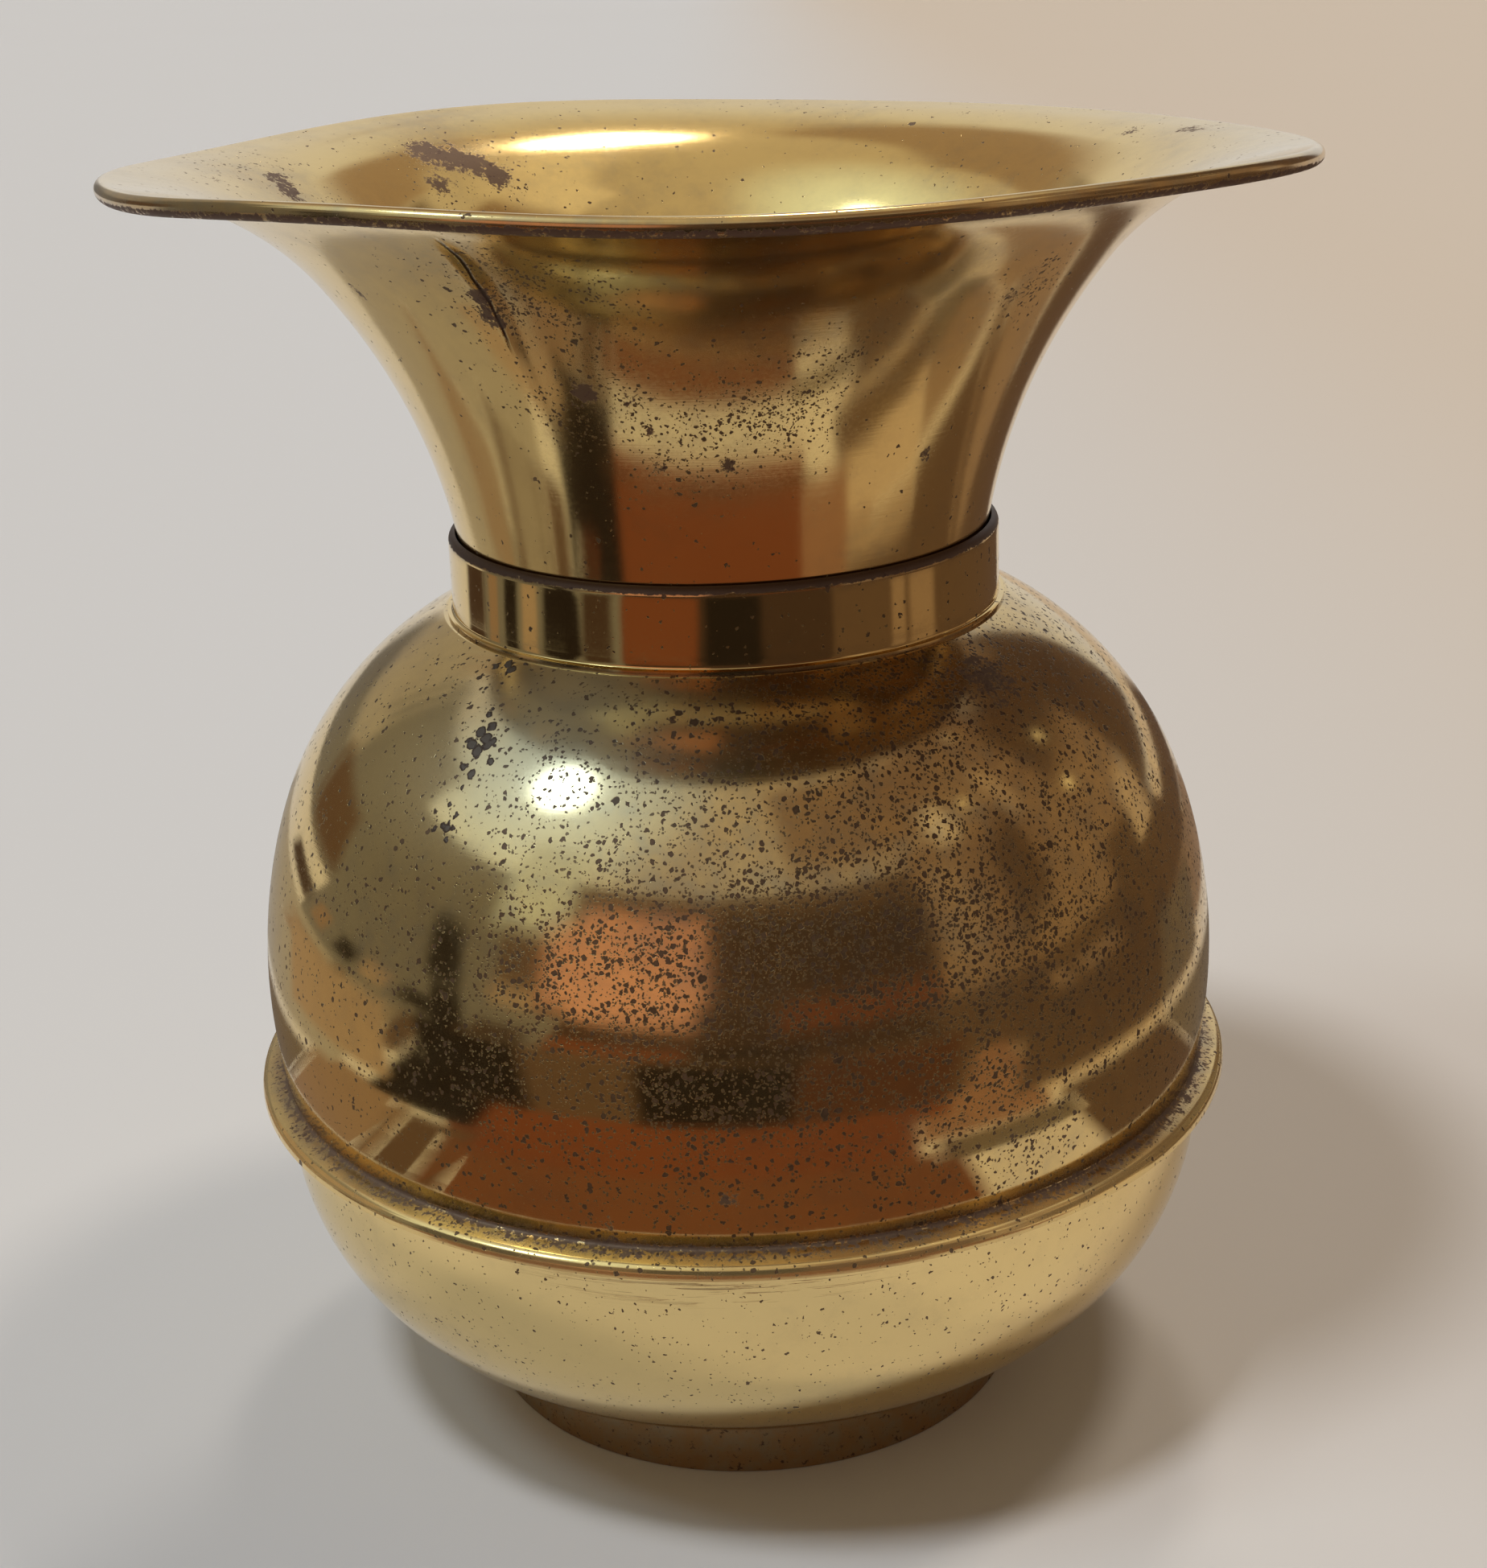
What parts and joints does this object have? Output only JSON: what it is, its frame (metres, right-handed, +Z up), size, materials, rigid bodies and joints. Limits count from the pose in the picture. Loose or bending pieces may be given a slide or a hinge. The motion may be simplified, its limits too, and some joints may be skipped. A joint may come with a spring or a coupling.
{
  "type": "spittoon",
  "caption": "Round spun-brass spittoon: a seamed bowl on a foot ring, an upright collar, and a trumpet funnel that stands loose in the collar and lifts out.",
  "frame": {"origin": "centre of the foot ring's underside, on the table", "axes": "+Z up along the axis that every piece is turned about; -Y towards the picture's viewer; +X to the viewer's right"},
  "size_m": [0.2376, 0.2376, 0.267],
  "materials": {
    "foot_brass": "dull brass with brown patina",
    "lower_brass": "polished brass, lightly specked",
    "upper_brass": "worn polish, pitted, with brown tarnish",
    "collar_brass": "polished brass with a tarnished edge",
    "funnel_brass": "polished brass with scattered dark spots",
    "wire": "drawn wire",
    "solder": "dull grey solder"
  },
  "bodies": {
    "bowl": {"foot_ring": "foot_brass", "lower_bowl": "lower_brass", "upper_bowl": "upper_brass", "collar": "collar_brass", "foot_solder": "solder", "seam_solder": "solder", "collar_solder": "solder"},
    "funnel": {"funnel": "funnel_brass", "rim_wire": "wire"}
  },
  "joints": [
    {"name": "funnel_lift", "type": "slide", "parent": "bowl", "child": "funnel", "axis": [0, 0, 1], "range_m": [0, 0.06]}
  ]
}
